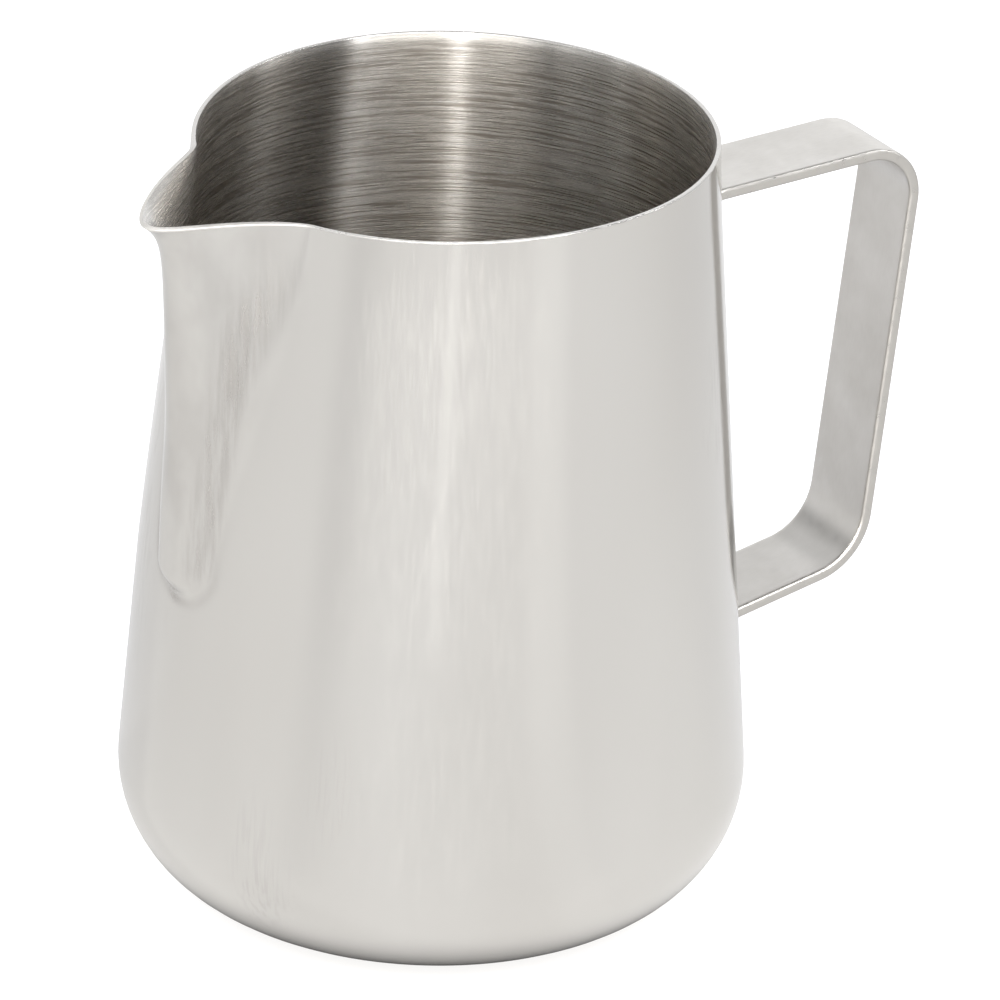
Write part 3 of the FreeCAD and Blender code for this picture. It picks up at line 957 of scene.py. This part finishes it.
def make_inside_steel():
    """Brushed inside: grain with painted reflection streaks, painted glints, a polished edge
    painted lighter.
    """
    material, shader = new_material("inside_steel")
    place = down_the_inside(material)
    long_lines = add_noise(material, place=place, **LONG_LINES)
    short_lines = add_noise(material, place=place, **SHORT_LINES)
    glints = add_noise(material, place=place, **GLINTS)
    edge = attribute(material, "edge")
    lines = combine(material, "ADD", combine(material, "MULTIPLY", long_lines, 0.5),
                    combine(material, "MULTIPLY", short_lines, 0.5))
    # Brush lines, partly grain and partly painted reflection streaks, on colours darkened as
    # painted shade
    colour = mix_colours(material, remap(material, lines, LINE_COLOUR_LEVELS), *INSIDE_STREAK_AND_SHADE_COLOURS)
    # Painted highlights: lighter at the polished edge and inside the lip, and in short glints
    bright = combine(material, "MAXIMUM", edge,
                     remap(material, glints, GLINT_LEVELS, GLINT_STRENGTHS))
    colour = mix_colours(material, bright, colour, INSIDE_HIGHLIGHT_COLOUR)
    join(material, colour, shader.inputs["Base Color"])
    roughness = remap(material, lines, LINE_ROUGHNESS_LEVELS, INSIDE_ROUGHNESS)
    join(material, roughness, shader.inputs["Roughness"])
    left = remap(material, edge, EDGE_SHARES, EDGE_LINES_LEFT)
    add_bump(material, shader, combine(material, "MULTIPLY", lines, left), LINES_BUMP)
    brush_round(material, shader, INSIDE_ANISOTROPY)
    return material


def make_rim_steel():
    """Edge of the sheet, duller and lighter round the pouring lip."""
    material, shader = new_material("rim_steel")
    lip = attribute(material, "formed")
    clouds = add_noise(material, **RIM_CLOUDS)
    colour = noise_colour(material, clouds, RIM_COLOURS)
    colour = mix_colours(material, lip, colour, LIP_RIM_COLOUR)
    join(material, colour, shader.inputs["Base Color"])
    roughness = remap(material, clouds, NOISE_RANGE, RIM_ROUGHNESS)
    duller = combine(material, "MULTIPLY", lip, LIP_RIM_ROUGHENING)
    join(material, combine(material, "ADD", roughness, duller), shader.inputs["Roughness"])
    add_bump(material, shader, add_noise(material, **FINE_GRAIN), RIM_BUMP)
    return material


def make_strap_steel():
    """Satin steel, with smoother rounded edges painted darker as shade."""
    material, shader = new_material("strap_satin_steel")
    clouds = add_noise(material, **STRAP_CLOUDS)
    grain = add_noise(material, **STRAP_GRAIN)
    edge = attribute(material, "edge")
    colour = noise_colour(material, clouds, STRAP_COLOURS)
    # Painted shade: the rounded edges and side faces are darker
    colour = mix_colours(material, edge, colour, STRAP_EDGE_SHADE_COLOUR)
    join(material, colour, shader.inputs["Base Color"])
    roughness = remap(material, grain, NOISE_RANGE, STRAP_ROUGHNESS)
    smoother = combine(material, "MULTIPLY", edge, STRAP_EDGE_SMOOTHING)
    join(material, combine(material, "SUBTRACT", roughness, smoother), shader.inputs["Roughness"])
    off_edge = combine(material, "SUBTRACT", 1.0, edge)
    add_bump(material, shader, combine(material, "MULTIPLY", grain, off_edge), STRAP_BUMP)
    return material


def make_grainy_steel(name, pattern, colours, roughness, bump_depth):
    """Dull steel whose colour, roughness and bump all follow one noise pattern."""
    material, shader = new_material(name)
    grain = add_noise(material, **pattern)
    join(material, noise_colour(material, grain, colours), shader.inputs["Base Color"])
    join(material, remap(material, grain, NOISE_RANGE, roughness), shader.inputs["Roughness"])
    add_bump(material, shader, grain, bump_depth)
    return material


# ---------------------------------------------------------------- studio

def studio_direction(bearing, elevation):
    """Unit vector from the object: bearing 0 is towards the camera, and positive to its right."""
    bearing, elevation = math.radians(bearing), math.radians(elevation)
    towards = Vector((-math.sin(CAMERA_BEARING), -math.cos(CAMERA_BEARING), 0.0))
    right = Vector((math.cos(CAMERA_BEARING), -math.sin(CAMERA_BEARING), 0.0))
    level = towards * math.cos(bearing) + right * math.sin(bearing)
    return level * math.cos(elevation) + Vector((0.0, 0.0, math.sin(elevation)))


def add_softbox(name, bearing, elevation, width, radiance):
    """Upright rectangular light that faces the object."""
    light = bpy.data.lights.new(name, "AREA")
    light.shape = "RECTANGLE"
    light.size = width
    light.size_y = SOFTBOX_HEIGHT
    light.energy = radiance * math.pi * width * SOFTBOX_HEIGHT
    lamp = bpy.data.objects.new(name, light)
    away = studio_direction(bearing, elevation) * SOFTBOX_DISTANCE
    lamp.location = SOFTBOX_TARGET + away
    lamp.rotation_euler = away.to_track_quat("Z", "Y").to_euler()
    bpy.context.scene.collection.objects.link(lamp)


def grey_ramp(owner, share, stops):
    """Grey level that follows stops of (degrees, level), from -180 at a share of 0 to 180 at 1."""
    node = add_node(owner, "ShaderNodeValToRGB")
    node.color_ramp.interpolation = "EASE"
    elements = node.color_ramp.elements
    while len(elements) < len(stops):
        elements.new(0.5)
    for element, (degrees, level) in zip(elements, stops):
        element.position = degrees / 360.0 + 0.5
        element.color = (level, level, level, 1.0)
    join(owner, share, node.inputs["Fac"])
    return node.outputs["Color"]


def floor_glow(material, far, towards, rightwards):
    """Glow that reflections see: it follows the bearing, and fades round the cup's foot as painted
    shadow.
    """
    bearing = combine(material, "ARCTAN2", rightwards, towards)
    share = remap(material, bearing, (-math.pi, math.pi))
    broad = combine(material, "MULTIPLY", grey_ramp(material, share, FLOOR_GLOW),
                    remap(material, far, GLOW_FALL_REACH, GLOW_FALL))
    bands = combine(material, "SUBTRACT", grey_ramp(material, share, FLOOR_BANDS), BANDS_MIDDLE)
    bands = combine(material, "MULTIPLY", bands, ease(material, far, BANDS_REACH, BANDS_SHARE))
    stripe = combine(material, "MULTIPLY", grey_ramp(material, share, FLOOR_STRIPE),
                     ease(material, far, STRIPE_REACH))
    glow = combine(material, "ADD", combine(material, "ADD", broad, bands), stripe)
    # Painted contact shadow: no glow round the cup's foot
    lit = combine(material, "MAXIMUM", ease(material, far, GLOW_SHADOW_REACH),
                  ease(material, far, UNDER_FOOT_REACH, UNDER_FOOT_GLOW))
    return combine(material, "MULTIPLY", glow, lit)


def make_white_table():
    """White that glows a little, as a lit acrylic sheet does. The camera sees one even glow. In
    reflections it has soft bands round the object. It is clear from below."""
    material, shader = new_material("white_table", metallic=0.0)
    shader.inputs["Roughness"].default_value = 0.9
    shader.inputs["Specular IOR Level"].default_value = 0.0
    place = object_place(material)
    far = vector_maths(material, "LENGTH", place)["Value"]
    towards = vector_maths(material, "DOT_PRODUCT", place, studio_direction(0.0, 0.0))["Value"]
    right = vector_maths(material, "DOT_PRODUCT", place, studio_direction(90.0, 0.0))["Value"]
    # Base colour: a painted contact shadow, dark round the cup's foot and whiter further out
    join(material, ease(material, far, FOOT_SHADOW_REACH, FLOOR_SHADOW_AND_WHITENESS),
         shader.inputs["Base Color"])
    ahead = combine(material, "DIVIDE", towards, far)
    tint = mix_colours(material, remap(material, ahead, TINT_BEARINGS), *FLOOR_TINTS)
    join(material, tint, shader.inputs["Emission Color"])
    light_path = add_node(material, "ShaderNodeLightPath")
    to_camera = add_node(material, "ShaderNodeMix")
    to_camera.inputs["B"].default_value = FLOOR_GLOW_SEEN
    join(material, light_path.outputs["Is Camera Ray"], to_camera.inputs["Factor"])
    join(material, floor_glow(material, far, towards, right), to_camera.inputs["A"])
    join(material, to_camera.outputs["Result"], shader.inputs["Emission Strength"])
    geometry = add_node(material, "ShaderNodeNewGeometry")
    clear = add_node(material, "ShaderNodeBsdfTransparent")
    sides = add_node(material, "ShaderNodeMixShader")
    output = material.node_tree.nodes["Material Output"]
    join(material, geometry.outputs["Backfacing"], sides.inputs["Fac"])
    join(material, shader.outputs["BSDF"], sides.inputs[1])
    join(material, clear.outputs["BSDF"], sides.inputs[2])
    join(material, sides.outputs["Shader"], output.inputs["Surface"])
    return material


def make_floor():
    """Round table just below the base, facing up."""
    count = 96
    points = [Vector((0.0, 0.0, 0.0))]
    points += turned_row(FLOOR_RADIUS, 0.0, [360.0 * step / count for step in range(count)])
    faces = [(0, 1 + step, 1 + (step + 1) % count) for step in range(count)]
    floor = make_object("floor", points, faces, [0] * count, [make_white_table()])
    if floor.data.polygons[0].normal.z < 0.0:
        floor.data.flip_normals()
    floor.location.z = -FLOOR_GAP * MM


def lobe_share(world, bearing, towards, limits):
    """How far a level direction points one way: from 0 at the low cosine to 1 at the high one."""
    cosine = vector_maths(world, "DOT_PRODUCT", bearing, towards)["Value"]
    return ease(world, cosine, limits)


def make_world():
    """Room round the object: a lit horizon, a bright front, a white back, and dim sides."""
    world = bpy.data.worlds.new("room")
    world.use_nodes = True
    direction = add_node(world, "ShaderNodeTexCoord").outputs["Generated"]
    split = add_node(world, "ShaderNodeSeparateXYZ")
    join(world, direction, split.inputs["Vector"])
    rise = split.outputs["Z"]
    flat = vector_maths(world, "MULTIPLY", direction, (1.0, 1.0, 0.0))["Vector"]
    bearing = vector_maths(world, "NORMALIZE", flat)["Vector"]
    back = lobe_share(world, bearing, -studio_direction(0.0, 0.0), BACK_LOBE)
    front = lobe_share(world, bearing, studio_direction(FRONT_BEARING, 0.0), FRONT_LOBE)
    back_level = ease(world, rise, BACK_FADE, (TENT_BACK - TENT_SIDE, 0.0))
    front_level = ease(world, rise, FRONT_FADE, (TENT_FRONT - TENT_SIDE, 0.0))
    raised = combine(world, "MAXIMUM", combine(world, "MULTIPLY", back, back_level),
                     combine(world, "MULTIPLY", front, front_level))
    horizon = ease(world, rise, HORIZON_FADE, (HORIZON - TENT_SIDE, 0.0))
    raised = combine(world, "MAXIMUM", raised, horizon)
    around = ease(world, rise, OVERHEAD_START, (TENT_SIDE, TENT_OVERHEAD))
    colour = mix_colours(world, front, ROOM_COLOUR, FRONT_COLOUR)
    background = world.node_tree.nodes["Background"]
    join(world, combine(world, "ADD", around, raised), background.inputs["Strength"])
    join(world, colour, background.inputs["Color"])
    bpy.context.scene.world = world


def make_camera():
    """Camera at the photograph's viewing angle."""
    pitch, yaw, roll = CAMERA_PITCH, CAMERA_YAW, CAMERA_ROLL
    forward = Vector((math.sin(yaw) * math.cos(pitch), math.cos(yaw) * math.cos(pitch),
                      -math.sin(pitch)))
    right = Vector((math.cos(yaw), -math.sin(yaw), 0.0))
    up = right.cross(forward)
    rolled_right = right * math.cos(roll) + up * math.sin(roll)
    rolled_up = up * math.cos(roll) - right * math.sin(roll)
    turn = Matrix.Rotation(-CAMERA_BEARING, 3, "Z")
    axes = Matrix((turn @ rolled_right, turn @ rolled_up, turn @ -forward)).transposed()
    data = bpy.data.cameras.new("camera")
    data.sensor_width = 36.0
    data.lens = CAMERA_LENS
    data.clip_start = 0.05
    data.clip_end = 20.0
    camera = bpy.data.objects.new("camera", data)
    place = studio_direction(0.0, 0.0) * CAMERA_DISTANCE + Vector((0.0, 0.0, CAMERA_HEIGHT))
    camera.matrix_world = Matrix.Translation(place) @ axes.to_4x4()
    bpy.context.scene.collection.objects.link(camera)
    bpy.context.scene.camera = camera


# ---------------------------------------------------------------- the scene

underside_steel = make_grainy_steel("underside_steel", FINE_GRAIN, UNDERSIDE_COLOURS,
                                    UNDERSIDE_ROUGHNESS, UNDERSIDE_BUMP)
weld_steel = make_grainy_steel("weld_steel", WELD_GRAIN, WELD_COLOURS, WELD_ROUGHNESS, WELD_BUMP)

cup = make_cup(make_outside_steel(), make_rim_steel(), make_inside_steel(), underside_steel)
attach(cup, "root")
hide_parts("cup_body")

handle = make_handle(make_strap_steel())
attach(handle, "root")
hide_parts("handle_strap")

for node in ("upper_spot_welds", "lower_spot_welds"):
    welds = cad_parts[node]
    if not welds.material_slots:
        welds.data.materials.append(weld_steel)
    for material_slot in welds.material_slots:
        material_slot.material = weld_steel

make_floor()
make_world()
for softbox in SOFTBOXES:
    add_softbox(*softbox)
make_camera()

settings = bpy.context.scene.view_settings
settings.view_transform = "Standard"
settings.look = "None"
